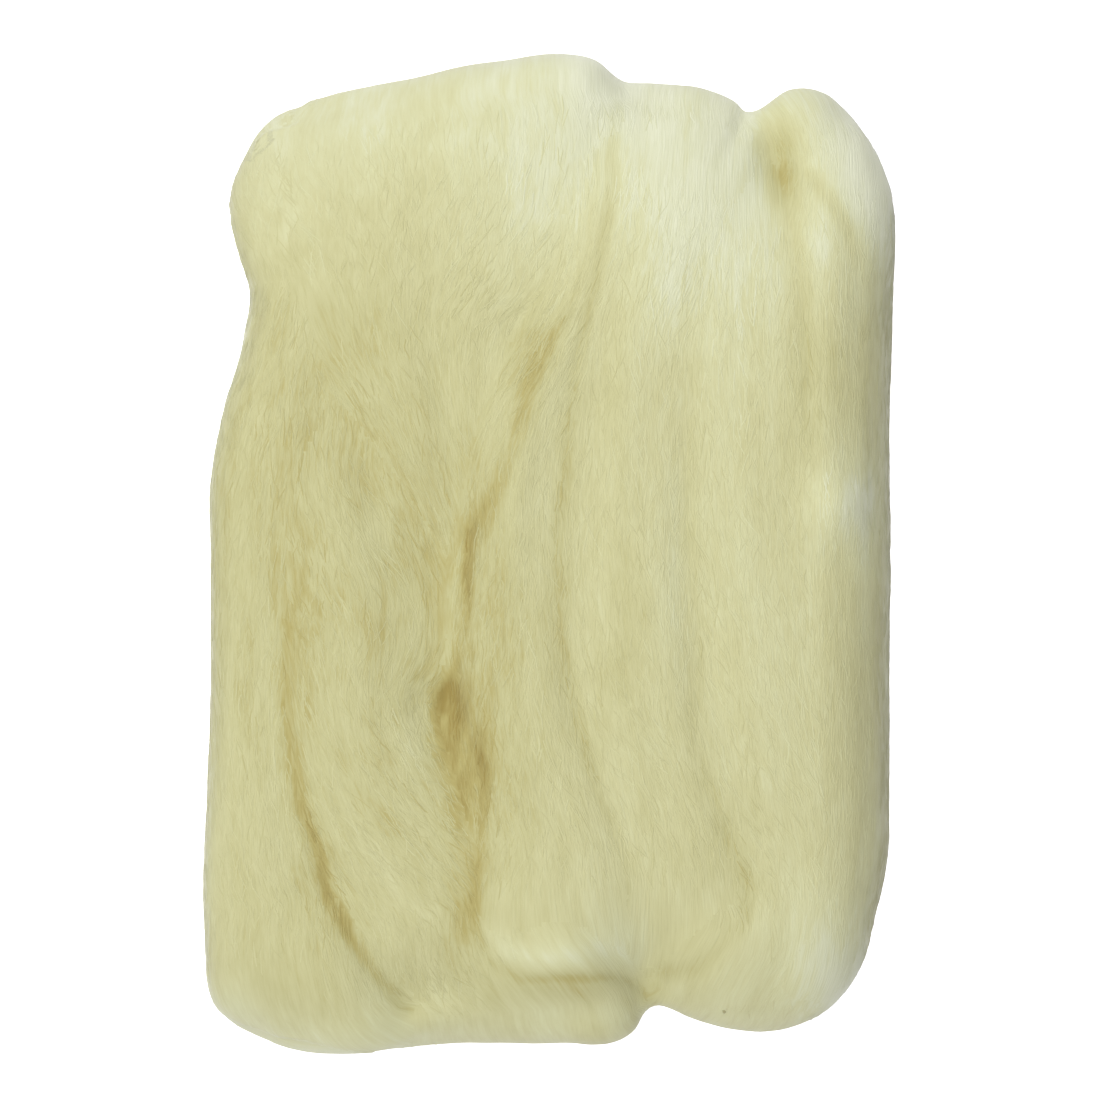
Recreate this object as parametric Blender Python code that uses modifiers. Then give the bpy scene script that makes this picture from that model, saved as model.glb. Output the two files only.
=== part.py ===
"""Wool roving: one long loose rope of combed fibre, wound flat into a small bundle.

The bundle lies on its back on a surface. +Z is up, +Y runs along the fibres towards
the end with the three rounded bends, and the origin is on the surface under the middle.
Each lock of the roving is a flattened rope that runs down the front of the bundle, bends
round its bottom end, comes back up the back and bends round the top end into itself.
The locks are fused into one soft solid, because nothing parts the fibres of a roving.
"""

from collections import namedtuple

import bpy
import numpy as np

MM = 0.001

# Driving sizes of the finished bundle
BUNDLE_WIDTH = 110 * MM
BUNDLE_LENGTH = 160 * MM
BUNDLE_HEIGHT = 38 * MM

# How the bundle is wound
MIDDLE_LEVEL = 17.5  # mm above the surface, halfway between the front and back passes
BEND_CENTRE = 54  # mm from the middle to the line that the bends turn round
BACK_LEVEL = 9  # mm, centre of each back pass
BACK_THICKNESS = 21  # mm
SQUARENESS = 2.4  # exponent of a section's outline: 2 is an ellipse, more is squarer

# Fineness of the solid
STEPS_PER_SECTION = 16
POINTS_ROUND = 36
FUSE_GRID = 1.1 * MM
CREASE_RADIUS = 1.0 * MM  # how far the fibres close over the bottom of a deep crease
SOFTEN_PASSES = 10
SURFACE_TRIANGLES = 9000
RESTING_LEVEL = -0.8 * MM  # where its own weight presses the underside flat

WOOL_COLOUR = (0.62, 0.60, 0.36, 1.0)
WOOL_ROUGHNESS = 0.95

# One section of a lock, in mm and degrees: where its middle is, how wide and thick the
# lock is there, how far it leans, positive where its right side is the lower one, and
# how far it is swept, positive where its right side is nearer to the top end
Section = namedtuple("Section", "x y z width thick lean sweep", defaults=(0, 0))

# Each lock's front pass, from the top bend to the bottom bend
LOCKS = {
    # the wide fan that drapes over the top left and gathers towards the middle
    "fan": (
        Section(-18.6, 69.0, 17.5, 62.5, 17, 0, 12),
        Section(-19.8, 58.5, 23.5, 65, 18, 0, 9),
        Section(-21.0, 43.0, 25.8, 55, 17, 0, 2),
        Section(-21.0, 34.0, 26.7, 42, 16),
        Section(-17.5, 18.0, 27.0, 25, 15),
        Section(-13.5, 3.0, 24.5, 15, 14),
        Section(-9.0, -14.0, 20.0, 16, 14),
        Section(-4.0, -62.0, 17.0, 24, 16),
    ),
    # the lock down the left edge, which sweeps right along the bottom
    "left_edge": (
        Section(-36.0, 54.0, 17.0, 20, 17),
        Section(-37.0, 43.0, 23.0, 20, 18),
        Section(-41.0, 24.0, 24.3, 22.5, 19),
        Section(-43.2, 6.0, 24.8, 23, 19),
        Section(-44.5, -20.0, 24.3, 21, 19),
        Section(-44.5, -45.0, 24.3, 22, 19),
        Section(-41.0, -62.0, 23.8, 29, 18),
        Section(-36.2, -72.0, 17.0, 34, 15, 0, 3),
    ),
    # the belly inside it, which dives under the middle lock
    "belly": (
        Section(-26.0, 58.0, 18.0, 24, 17),
        Section(-28.0, 47.0, 22.0, 24, 17),
        Section(-32.0, 30.0, 23.0, 24, 17),
        Section(-34.0, 14.0, 25.5, 30, 17),
        Section(-32.0, 2.0, 26.3, 32, 17),
        Section(-30.0, -10.0, 26.7, 34, 17),
        Section(-30.8, -24.0, 27.0, 26, 17),
        Section(-26.0, -38.0, 26.7, 29, 17),
        Section(-16.0, -53.0, 25.0, 34, 17),
        Section(-8.5, -64.5, 23.3, 42, 15),
        Section(-6.5, -72.3, 16.0, 45, 14),
    ),
    # the left lock of the middle winding, narrow at the top, with the front loop
    "middle_left": (
        Section(10.0, 65.5, 17.5, 22, 17),
        Section(9.2, 56.0, 24.8, 15, 16),
        Section(6.5, 44.0, 26.5, 11, 16),
        Section(1.5, 30.0, 28.3, 14, 17),
        Section(-3.0, 17.0, 28.7, 18, 17),
        Section(-4.3, 2.0, 28.7, 20, 17),
        Section(-4.0, -23.0, 28.7, 23, 17),
        Section(0.5, -44.0, 29.0, 25, 17),
        Section(1.5, -55.0, 28.0, 28, 16),
        Section(2.0, -60.7, 21.5, 27, 13),
    ),
    # its right lock
    "middle_right": (
        Section(20.7, 66.7, 17.5, 25, 17, 0, -5),
        Section(20.2, 57.5, 25.0, 26, 17, 0, -2),
        Section(18.0, 44.0, 26.7, 27, 17),
        Section(14.0, 30.0, 27.5, 27, 17),
        Section(12.0, 5.0, 28.0, 29, 17),
        Section(14.0, -20.0, 28.0, 28, 17),
        Section(18.5, -42.0, 27.5, 28, 17),
        Section(19.5, -54.0, 25.8, 29, 16),
        Section(19.0, -60.3, 19.5, 28, 13),
    ),
    # the inner lock of the right winding
    "right_inner": (
        Section(31.0, 58.0, 17.5, 18, 17),
        Section(31.0, 49.0, 25.0, 22, 17),
        Section(31.0, 28.0, 27.5, 28, 17),
        Section(31.5, 0.0, 27.5, 30, 17),
        Section(34.0, -30.0, 27.0, 30, 17),
        Section(37.0, -52.0, 25.5, 28, 17),
        Section(33.0, -62.0, 24.0, 28, 16, 0, -3),
        Section(30.7, -69.5, 16.5, 28, 14, 0, -5),
    ),
    # its outer lock, which makes the ear at the top right and the straight right side
    "right_outer": (
        Section(42.3, 65.6, 17.5, 19, 17, 0, -20),
        Section(46.2, 57.0, 24.0, 18, 17, 10, -10),
        Section(46.2, 46.0, 25.0, 20, 19, 12),
        Section(45.8, 8.0, 25.0, 20, 21, 8),
        Section(45.8, -20.0, 24.0, 20, 21, 10),
        Section(45.2, -48.0, 23.5, 20, 21, 10),
        Section(42.5, -59.0, 22.8, 21, 18, 8, 8),
        Section(38.8, -66.8, 16.5, 24, 14, 0, 16),
    ),
}

# Where each lock runs on the back of the bundle, and how wide it is there, in mm
Back = namedtuple("Back", "x width")
BACKS = {
    "fan": Back(-28, 32),
    "left_edge": Back(-40, 24),
    "belly": Back(-12, 26),
    "middle_left": Back(3, 25),
    "middle_right": Back(17, 24),
    "right_inner": Back(30, 25),
    "right_outer": Back(42, 24),
}

# The sections of a back pass between its end and the middle of the bundle: how far
# inward of the end and how far above the back level they are, in mm, and how like the
# end's section they are, as a share
BackRow = namedtuple("BackRow", "inward rise likeness")
BACK_ROWS = (BackRow(2.5, 3.0, 0.8), BackRow(9, 0, 0.5), BackRow(32, 0, 0.1))
SHOULDER = BackRow(2.8, 11.5, 0.6)  # the front pass rounds each bend in the same way

# The tucked-in layers that fill the middle of the bundle, in mm
Block = namedtuple("Block", "x y width length height rounding")
FILLING = Block(1.3, -1.5, 99.5, 129, 16, 7.5)


def unit(vectors):
    return vectors / np.linalg.norm(vectors, axis=-1, keepdims=True)


def smooth_curve(rows):
    """Closely spaced points on the closed smooth curve through all the rows."""
    rows = np.asarray(rows, float)
    before, after, beyond = (np.roll(rows, shift, axis=0) for shift in (1, -1, -2))
    t = np.linspace(0, 1, STEPS_PER_SECTION, endpoint=False)[:, None, None]
    curve = 0.5 * (
        2 * rows
        + (after - before) * t
        + (2 * before - 5 * rows + 4 * after - beyond) * t**2
        + (3 * rows - before - 3 * after + beyond) * t**3
    )
    return curve.transpose(1, 0, 2).reshape(-1, rows.shape[1])


def towards(end, other, row):
    """A section near one end of a lock, between that end's section and another."""
    blend = row.likeness * np.array(end) + (1 - row.likeness) * np.array(other)
    blend[1] = end.y - np.sign(end.y) * row.inward
    blend[2] = BACK_LEVEL + row.rise
    return Section(*blend)


def full_turn(name):
    """All the sections of a lock: its front pass, and its back pass back to the top."""
    top, *between, bottom = LOCKS[name]
    back = Section(BACKS[name].x, 0, BACK_LEVEL, BACKS[name].width, BACK_THICKNESS)
    front_pass = [
        top,
        towards(top, between[0], SHOULDER),
        *between,
        towards(bottom, between[-1], SHOULDER),
        bottom,
    ]
    to_the_bottom = [towards(bottom, back, row) for row in BACK_ROWS]
    to_the_top = [towards(top, back, row) for row in reversed(BACK_ROWS)]
    return front_pass + to_the_bottom + to_the_top


def outward(points):
    """The unit vector that points out of the winding at each point of a lock's path."""
    nearest = np.clip(points[:, 1], -BEND_CENTRE, BEND_CENTRE)
    height = points[:, 2] - MIDDLE_LEVEL
    return unit(np.stack([0 * height, points[:, 1] - nearest, height], axis=1))


def swept(vectors, angle):
    """The vectors turned about the vertical."""
    x, y, z = vectors.T[:, :, None]
    cos, sin = np.cos(angle), np.sin(angle)
    return np.hstack([x * cos - y * sin, x * sin + y * cos, z])


def lock_rings(name):
    """The rings of points round one lock: a flattened section carried along its path."""
    rows = smooth_curve(full_turn(name))
    middle, width, thick = rows[:, :3], rows[:, 3], rows[:, 4]
    lean, sweep = np.radians(rows[:, 5:]).T[:, :, None]
    along = unit(np.roll(middle, -1, axis=0) - np.roll(middle, 1, axis=0))
    across = unit(np.cross(outward(middle), along))
    up = np.cross(along, across)
    leaning_across = across * np.cos(lean) - up * np.sin(lean)
    leaning_up = up * np.cos(lean) + across * np.sin(lean)
    across, up = swept(leaning_across, sweep), swept(leaning_up, sweep)

    turn = np.linspace(0, 2 * np.pi, POINTS_ROUND, endpoint=False)
    side = np.sign(np.cos(turn)) * np.abs(np.cos(turn)) ** (2 / SQUARENESS)
    rise = np.sign(np.sin(turn)) * np.abs(np.sin(turn)) ** (2 / SQUARENESS)
    reach = side[None, :, None] * width[:, None, None] / 2
    lift = rise[None, :, None] * thick[:, None, None] / 2
    return middle[:, None] + across[:, None] * reach + up[:, None] * lift


def tube_faces(count, around):
    """The four-sided faces of a closed tube of rings, each with its points in order."""
    ring, point = np.meshgrid(np.arange(count), np.arange(around), indexing="ij")
    next_ring, next_point = (ring + 1) % count, (point + 1) % around
    corners = (
        (ring, point),
        (ring, next_point),
        (next_ring, next_point),
        (next_ring, point),
    )
    return np.stack([(a * around + b).ravel() for a, b in corners], axis=1)


def overlapping_locks():
    """All the locks as one object, overlapping where they press together."""
    points, faces, used = [], [], 0
    for name in LOCKS:
        rings = lock_rings(name) * MM
        points.append(rings.reshape(-1, 3))
        faces.append(tube_faces(*rings.shape[:2]) + used)
        used += len(points[-1])
    mesh = bpy.data.meshes.new("locks")
    mesh.from_pydata(np.vstack(points), [], np.vstack(faces).tolist())
    return bpy.data.objects.new("roving", mesh)


def filling():
    """The rounded block of tucked-in layers that the locks are wound round."""
    bpy.ops.mesh.primitive_cube_add(size=1)
    block = bpy.context.object
    block.scale = [size * MM for size in (FILLING.width, FILLING.length, FILLING.height)]
    block.location = (FILLING.x * MM, FILLING.y * MM, MIDDLE_LEVEL * MM)
    bpy.ops.object.transform_apply(location=False, rotation=False, scale=True)
    rounding = block.modifiers.new("rounding", "BEVEL")
    rounding.width = FILLING.rounding * MM
    rounding.segments = 4
    apply_modifiers(block)
    return block


def join(main_object, other):
    """The other object's mesh becomes part of the main object's mesh."""
    bpy.ops.object.select_all(action="DESELECT")
    other.select_set(True)
    main_object.select_set(True)
    bpy.context.view_layer.objects.active = main_object
    bpy.ops.object.join()


def apply_modifiers(obj):
    depsgraph = bpy.context.evaluated_depsgraph_get()
    mesh = bpy.data.meshes.new_from_object(obj.evaluated_get(depsgraph))
    obj.modifiers.clear()
    obj.data = mesh


def add_remesh(obj, name):
    modifier = obj.modifiers.new(name, "REMESH")
    modifier.mode = "VOXEL"
    modifier.voxel_size = FUSE_GRID


def add_offset(obj, name, distance):
    modifier = obj.modifiers.new(name, "DISPLACE")
    modifier.mid_level = 0
    modifier.strength = distance


def fuse(obj):
    """The overlapping locks become one skin with softly closed creases."""
    add_remesh(obj, "fuse")
    add_offset(obj, "swell", CREASE_RADIUS)
    add_remesh(obj, "close_creases")
    add_offset(obj, "shrink", -CREASE_RADIUS)
    soften = obj.modifiers.new("soften", "SMOOTH")
    soften.factor = 0.5
    soften.iterations = SOFTEN_PASSES
    apply_modifiers(obj)


def coarsen(obj):
    """Fewer and larger triangles, kept small only where the surface bends sharply."""
    obj.data.calc_loop_triangles()
    thin_out = obj.modifiers.new("thin_out", "DECIMATE")
    thin_out.ratio = SURFACE_TRIANGLES / len(obj.data.loop_triangles)
    thin_out.use_collapse_triangulate = True
    apply_modifiers(obj)


def press_flat_and_fit(obj):
    """The underside is pressed flat on the surface, and the driving sizes are met."""
    points = np.empty(len(obj.data.vertices) * 3)
    obj.data.vertices.foreach_get("co", points)
    points = points.reshape(-1, 3)
    points[:, 2] = np.maximum(points[:, 2], RESTING_LEVEL)

    low, high = points.min(axis=0), points.max(axis=0)
    foot = np.array([(low[0] + high[0]) / 2, (low[1] + high[1]) / 2, low[2]])
    size = np.array([BUNDLE_WIDTH, BUNDLE_LENGTH, BUNDLE_HEIGHT])
    points = (points - foot) * size / (high - low)
    obj.data.vertices.foreach_set("co", points.ravel())
    obj.data.update()


def wool():
    material = bpy.data.materials.new("wool")
    material.use_nodes = True
    shader = material.node_tree.nodes["Principled BSDF"]
    shader.inputs["Base Color"].default_value = WOOL_COLOUR
    shader.inputs["Roughness"].default_value = WOOL_ROUGHNESS
    shader.inputs["Metallic"].default_value = 0
    return material


def main():
    for obj in list(bpy.data.objects):
        bpy.data.objects.remove(obj)
    bundle = bpy.data.collections.new("wool_roving")
    bpy.context.scene.collection.children.link(bundle)

    roving = overlapping_locks()
    bundle.objects.link(roving)
    join(roving, filling())
    fuse(roving)
    coarsen(roving)
    press_flat_and_fit(roving)
    roving.data.name = "roving"
    roving.data.shade_smooth()
    roving.data.materials.clear()
    roving.data.materials.append(wool())


main()
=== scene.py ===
import bmesh
import bpy
import numpy as np
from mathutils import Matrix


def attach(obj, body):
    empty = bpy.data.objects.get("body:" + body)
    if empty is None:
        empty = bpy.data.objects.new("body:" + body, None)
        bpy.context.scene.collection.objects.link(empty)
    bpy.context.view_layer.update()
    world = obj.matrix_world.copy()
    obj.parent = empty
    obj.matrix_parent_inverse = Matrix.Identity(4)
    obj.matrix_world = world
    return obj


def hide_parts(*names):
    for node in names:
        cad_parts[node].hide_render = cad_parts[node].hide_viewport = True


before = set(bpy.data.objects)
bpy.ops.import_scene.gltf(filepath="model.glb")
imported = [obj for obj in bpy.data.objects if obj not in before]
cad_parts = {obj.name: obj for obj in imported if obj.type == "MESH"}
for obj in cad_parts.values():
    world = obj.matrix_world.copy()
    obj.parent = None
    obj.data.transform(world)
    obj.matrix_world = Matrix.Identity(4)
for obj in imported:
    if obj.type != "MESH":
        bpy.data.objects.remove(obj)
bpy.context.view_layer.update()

mm = 0.001
rng = np.random.default_rng(11)

# The winding, in mm and degrees
winding = {
    "size": (110, 160, 38),
    "middleLevel": 17.5,
    "bendCentre": 54,
    "restingLevel": -0.8,
    "backLevel": 9,
    "backThickness": 21,
    "squareness": 2.4,
    # rows near an end: how far inward of it, how far above the back level, and the share of
    # the end's own section
    "backRows": ((2.5, 3.0, 0.8), (9, 0, 0.5), (32, 0, 0.1)),
    "shoulder": (2.8, 11.5, 0.6),
}

# Each lock's front pass runs from the top bend to the bottom bend: x, y, z of its middle,
# its width and thickness, its lean and its sweep. Its back pass has a place across and a
# width.
locks = {
    "fan": {
        "back": (-28, 32),
        "front": (
            (-18.6, 69, 17.5, 62.5, 17, 0, 12),
            (-19.8, 58.5, 23.5, 65, 18, 0, 9),
            (-21, 43, 25.8, 55, 17, 0, 2),
            (-21, 34, 26.7, 42, 16, 0, 0),
            (-17.5, 18, 27, 25, 15, 0, 0),
            (-13.5, 3, 24.5, 15, 14, 0, 0),
            (-9, -14, 20, 16, 14, 0, 0),
            (-4, -62, 17, 24, 16, 0, 0),
        ),
    },
    "leftEdge": {
        "back": (-40, 24),
        "front": (
            (-36, 54, 17, 20, 17, 0, 0),
            (-37, 43, 23, 20, 18, 0, 0),
            (-41, 24, 24.3, 22.5, 19, 0, 0),
            (-43.2, 6, 24.8, 23, 19, 0, 0),
            (-44.5, -20, 24.3, 21, 19, 0, 0),
            (-44.5, -45, 24.3, 22, 19, 0, 0),
            (-41, -62, 23.8, 29, 18, 0, 0),
            (-36.2, -72, 17, 34, 15, 0, 3),
        ),
    },
    "belly": {
        "back": (-12, 26),
        "front": (
            (-26, 58, 18, 24, 17, 0, 0),
            (-28, 47, 22, 24, 17, 0, 0),
            (-32, 30, 23, 24, 17, 0, 0),
            (-34, 14, 25.5, 30, 17, 0, 0),
            (-32, 2, 26.3, 32, 17, 0, 0),
            (-30, -10, 26.7, 34, 17, 0, 0),
            (-30.8, -24, 27, 26, 17, 0, 0),
            (-26, -38, 26.7, 29, 17, 0, 0),
            (-16, -53, 25, 34, 17, 0, 0),
            (-8.5, -64.5, 23.3, 42, 15, 0, 0),
            (-6.5, -72.3, 16, 45, 14, 0, 0),
        ),
    },
    "middleLeft": {
        "back": (3, 25),
        "front": (
            (10, 65.5, 17.5, 22, 17, 0, 0),
            (9.2, 56, 24.8, 15, 16, 0, 0),
            (6.5, 44, 26.5, 11, 16, 0, 0),
            (1.5, 30, 28.3, 14, 17, 0, 0),
            (-3, 17, 28.7, 18, 17, 0, 0),
            (-4.3, 2, 28.7, 20, 17, 0, 0),
            (-4, -23, 28.7, 23, 17, 0, 0),
            (0.5, -44, 29, 25, 17, 0, 0),
            (1.5, -55, 28, 28, 16, 0, 0),
            (2, -60.7, 21.5, 27, 13, 0, 0),
        ),
    },
    "middleRight": {
        "back": (17, 24),
        "front": (
            (20.7, 66.7, 17.5, 25, 17, 0, -5),
            (20.2, 57.5, 25, 26, 17, 0, -2),
            (18, 44, 26.7, 27, 17, 0, 0),
            (14, 30, 27.5, 27, 17, 0, 0),
            (12, 5, 28, 29, 17, 0, 0),
            (14, -20, 28, 28, 17, 0, 0),
            (18.5, -42, 27.5, 28, 17, 0, 0),
            (19.5, -54, 25.8, 29, 16, 0, 0),
            (19, -60.3, 19.5, 28, 13, 0, 0),
        ),
    },
    "rightInner": {
        "back": (30, 25),
        "front": (
            (31, 58, 17.5, 18, 17, 0, 0),
            (31, 49, 25, 22, 17, 0, 0),
            (31, 28, 27.5, 28, 17, 0, 0),
            (31.5, 0, 27.5, 30, 17, 0, 0),
            (34, -30, 27, 30, 17, 0, 0),
            (37, -52, 25.5, 28, 17, 0, 0),
            (33, -62, 24, 28, 16, 0, -3),
            (30.7, -69.5, 16.5, 28, 14, 0, -5),
        ),
    },
    "rightOuter": {
        "back": (42, 24),
        "front": (
            (42.3, 65.6, 17.5, 19, 17, 0, -20),
            (46.2, 57, 24, 18, 17, 10, -10),
            (46.2, 46, 25, 20, 19, 12, 0),
            (45.8, 8, 25, 20, 21, 8, 0),
            (45.8, -20, 24, 20, 21, 10, 0),
            (45.2, -48, 23.5, 20, 21, 10, 0),
            (42.5, -59, 22.8, 21, 18, 8, 8),
            (38.8, -66.8, 16.5, 24, 14, 0, 16),
        ),
    },
}


# A row near one end of a lock: the end's section blended with another, moved inward and up
def rowTowards(end, other, inward, rise, likeness):
    row = likeness * end + (1 - likeness) * other
    row[1] = end[1] - np.sign(end[1]) * inward
    row[2] = winding["backLevel"] + rise
    return row


# All the rows of a lock, down the front, round the bottom, up the back and round the top
def allRows(lock):
    front = np.array(lock["front"], float)
    x, width = lock["back"]
    back = np.array([x, 0, winding["backLevel"], width, winding["backThickness"], 0, 0])
    top, bottom = front[0], front[-1]
    toBottom = [rowTowards(bottom, back, *row) for row in winding["backRows"]]
    toTop = [rowTowards(top, back, *row) for row in reversed(winding["backRows"])]
    shoulders = (
        rowTowards(top, front[1], *winding["shoulder"]),
        rowTowards(bottom, front[-2], *winding["shoulder"]),
    )
    return np.array([top, shoulders[0], *front[1:-1], shoulders[1], bottom, *toBottom, *toTop])


grid = {
    # the even steps along a lock and round it, in mm
    "stepAlong": 2.4,
    "stepAcross": 0.46,
    # the steps in which the curve between two rows and the section are worked out first
    "curveSteps": 40,
    "sectionSteps": 2000,
    # the share of the section where it starts, on the buried inner side
    "seam": 0.75,
}


# The closed Catmull-Rom curve through the rows, then read at even steps of its length
def evenLoop(rows, step):
    before, after, beyond = (np.roll(rows, shift, axis=0) for shift in (1, -1, -2))
    t = np.linspace(0, 1, grid["curveSteps"], endpoint=False)[:, None, None]
    curve = 0.5 * (
        2 * rows
        + (after - before) * t
        + (2 * before - 5 * rows + 4 * after - beyond) * t**2
        + (3 * rows - before - 3 * after + beyond) * t**3
    )
    curve = curve.transpose(1, 0, 2).reshape(-1, rows.shape[1])
    closed = np.vstack([curve, curve[:1]])
    travelled = np.linalg.norm(np.diff(closed[:, :3], axis=0), axis=1).cumsum()
    travelled = np.insert(travelled, 0, 0)
    count = int(travelled[-1] / step)
    places = np.linspace(0, travelled[-1], count, endpoint=False)
    even = np.stack([np.interp(places, travelled, column) for column in closed.T], axis=1)
    return even, travelled[-1]


def unit(vectors):
    return vectors / np.maximum(np.linalg.norm(vectors, axis=-1, keepdims=True), 1e-12)


# Points round a superellipse at even steps of its own length, as shares of half its sizes
def evenSection(width, thick, count):
    turn = np.linspace(0, 2 * np.pi, grid["sectionSteps"] + 1)
    power = 2 / winding["squareness"]
    side = np.sign(np.cos(turn)) * np.abs(np.cos(turn)) ** power
    rise = np.sign(np.sin(turn)) * np.abs(np.sin(turn)) ** power
    steps = np.hypot(np.diff(side) * width / 2, np.diff(rise) * thick / 2)
    travelled = np.insert(steps.cumsum(), 0, 0)
    places = (np.linspace(0, 1, count, endpoint=False) + grid["seam"]) % 1 * travelled[-1]
    side, rise = (np.interp(places, travelled, values) for values in (side, rise))
    return side, rise, travelled[-1]


# Vectors turned about the vertical, each by its own angle
def turned(vectors, angle):
    x, y, z = vectors.T[:, :, None]
    cos, sin = np.cos(angle), np.sin(angle)
    return np.hstack([x * cos - y * sin, x * sin + y * cos, z])


# A lock's skin as a grid of points: its section carried along its path, tilted by lean and
# sweep, with one axis running round the loop and the other round the section
def lockGrid(lock):
    rows, length = evenLoop(allRows(lock), grid["stepAlong"])
    middle, width, thick = rows[:, :3], rows[:, 3], rows[:, 4]
    lean, sweep = np.radians(rows[:, 5:]).T[:, :, None]
    along = unit(np.roll(middle, -1, axis=0) - np.roll(middle, 1, axis=0))
    nearest = np.clip(middle[:, 1], -winding["bendCentre"], winding["bendCentre"])
    height = middle[:, 2] - winding["middleLevel"]
    outward = unit(np.stack([0 * height, middle[:, 1] - nearest, height], axis=1))
    across = unit(np.cross(outward, along))
    up = np.cross(along, across)
    leaningAcross = across * np.cos(lean) - up * np.sin(lean)
    leaningUp = up * np.cos(lean) + across * np.sin(lean)
    across, up = turned(leaningAcross, sweep), turned(leaningUp, sweep)
    meanWidth, meanThick = width.mean(), thick.mean()
    count = int(2 * (meanWidth + meanThick) / grid["stepAcross"])
    side, rise, girth = evenSection(meanWidth, meanThick, count)
    reach = side[None, :, None] * width[:, None, None] / 2
    lift = rise[None, :, None] * thick[:, None, None] / 2
    return middle[:, None] + across[:, None] * reach + up[:, None] * lift, length, girth


def addObject(name, data):
    piece = bpy.data.objects.new(name, data)
    bpy.context.scene.collection.objects.link(piece)
    return piece


def newMesh(name, points, faces):
    mesh = bpy.data.meshes.new(name)
    mesh.from_pydata(np.asarray(points).reshape(-1, 3), [], faces)
    mesh.shade_smooth()
    return addObject(name, mesh)


# The four-sided faces of a grid that closes both ways, and each corner's row and column
def closedGrid(rows, columns):
    row, column = np.meshgrid(np.arange(rows), np.arange(columns), indexing="ij")
    corners = ((row, column), (row, column + 1), (row + 1, column + 1), (row + 1, column))
    places = np.stack([np.stack(corner, axis=-1).reshape(-1, 2) for corner in corners], axis=1)
    faces = places[..., 0] % rows * columns + places[..., 1] % columns
    return faces, places


def pointsOf(piece):
    depsgraph = bpy.context.evaluated_depsgraph_get()
    mesh = piece.evaluated_get(depsgraph).data
    points = np.empty(len(mesh.vertices) * 3)
    mesh.vertices.foreach_get("co", points)
    return points.reshape(-1, 3)


def applyModifiers(piece):
    depsgraph = bpy.context.evaluated_depsgraph_get()
    mesh = bpy.data.meshes.new_from_object(piece.evaluated_get(depsgraph))
    piece.modifiers.clear()
    piece.data = mesh


# The nearest places on another piece's surface and the outward directions there, found
# with a Shrinkwrap put on it and then a millimetre above it
def nearestOn(target, points):
    probe = newMesh("probe", points, [])
    wrap = probe.modifiers.new("wrap", "SHRINKWRAP")
    wrap.target = target
    wrap.wrap_method = "NEAREST_SURFACEPOINT"
    on = pointsOf(probe)
    wrap.wrap_mode, wrap.offset = "ABOVE_SURFACE", 1 * mm
    outward = unit(pointsOf(probe) - on)
    bpy.data.objects.remove(probe)
    return on.reshape(points.shape), outward.reshape(points.shape)


# Reads a field that closes on itself both ways, between its points, at shares 0 to 1
def readField(field, u, v):
    rows, columns = field.shape[:2]
    a, b = (u % 1) * rows, (v % 1) * columns
    i, j = a.astype(int) % rows, b.astype(int) % columns
    s, t = a - np.floor(a), b - np.floor(b)
    if field.ndim == 3:
        s, t = s[..., None], t[..., None]
    nextI, nextJ = (i + 1) % rows, (j + 1) % columns
    low = field[i, j] * (1 - t) + field[i, nextJ] * t
    high = field[nextI, j] * (1 - t) + field[nextI, nextJ] * t
    return low * (1 - s) + high * s


# Random grain blurred long along the lock and narrow across it: white noise times a
# Gaussian of its frequencies, so that it closes on itself both ways
def combedGrain(shape, length, girth, along, across):
    grain = np.fft.rfft2(rng.standard_normal(shape))
    down = np.fft.fftfreq(shape[0])[:, None] * shape[0] / length * along
    side = np.fft.rfftfreq(shape[1])[None] * shape[1] / girth * across
    grain = np.fft.irfft2(grain * np.exp(-2 * np.pi**2 * (down**2 + side**2)), s=shape)
    return grain / grain.std()


# The cubic 3 t^2 - 2 t^3, which rises smoothly from 0 at the low value to 1 at the high one
def smoothStep(low, high, value):
    t = np.clip((value - low) / (high - low), 0, 1)
    return t * t * (3 - 2 * t)


def cornerUv(piece, uv):
    layer = piece.data.uv_layers.new(name="OFBake")
    layer.uv.foreach_set("vector", uv.astype(np.float32).ravel())


def addValues(piece, name, kind, domain, values):
    layer = piece.data.attributes.new(name, kind, domain)
    field = "vector" if kind == "FLOAT_VECTOR" else "value"
    layer.data.foreach_set(field, np.asarray(values, np.float32).ravel())


# The wool's colour by its tone, from the painted shade of the deepest crease to the painted
# light of the palest edge
woolTones = (
    (0.0, (0.36, 0.28, 0.085, 1)),
    (0.25, (0.49, 0.43, 0.17, 1)),
    (0.45, (0.58, 0.556, 0.285, 1)),
    (0.65, (0.645, 0.627, 0.347, 1)),
    (0.85, (0.70, 0.697, 0.42, 1)),
    (1.0, (0.745, 0.757, 0.52, 1)),
    (1.25, (0.83, 0.845, 0.64, 1)),
)
palestTone = woolTones[-1][0]


def setInputs(node, values):
    for socket, value in values.items():
        node.inputs[socket].default_value = value


# The output of a maths node on sockets and plain numbers
def maths(tree, operation, *values):
    node = tree.nodes.new("ShaderNodeMath")
    node.operation = operation
    for socket, value in zip(node.inputs, values):
        if isinstance(value, (int, float)):
            socket.default_value = value
        else:
            tree.links.new(value, socket)
    return node.outputs[0]


streaks = {
    # their sizes in mm, and how much they change the tone
    "layers": {
        "mottle": ({"Width": 3.0, "Length": 7, "Wander": 2.0}, 0.35),
        "broad": ({"Width": 1.1, "Length": 6, "Wander": 2.0}, 0.35),
        "fine": ({"Width": 0.3, "Length": 3, "Wander": 1.2}, 0.35),
    },
    # the slow noise that bends them, and their own
    "bending": {"Scale": 0.11, "Detail": 1},
    "noise": {"Scale": 1, "Detail": 2.5, "Roughness": 0.6},
}


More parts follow.
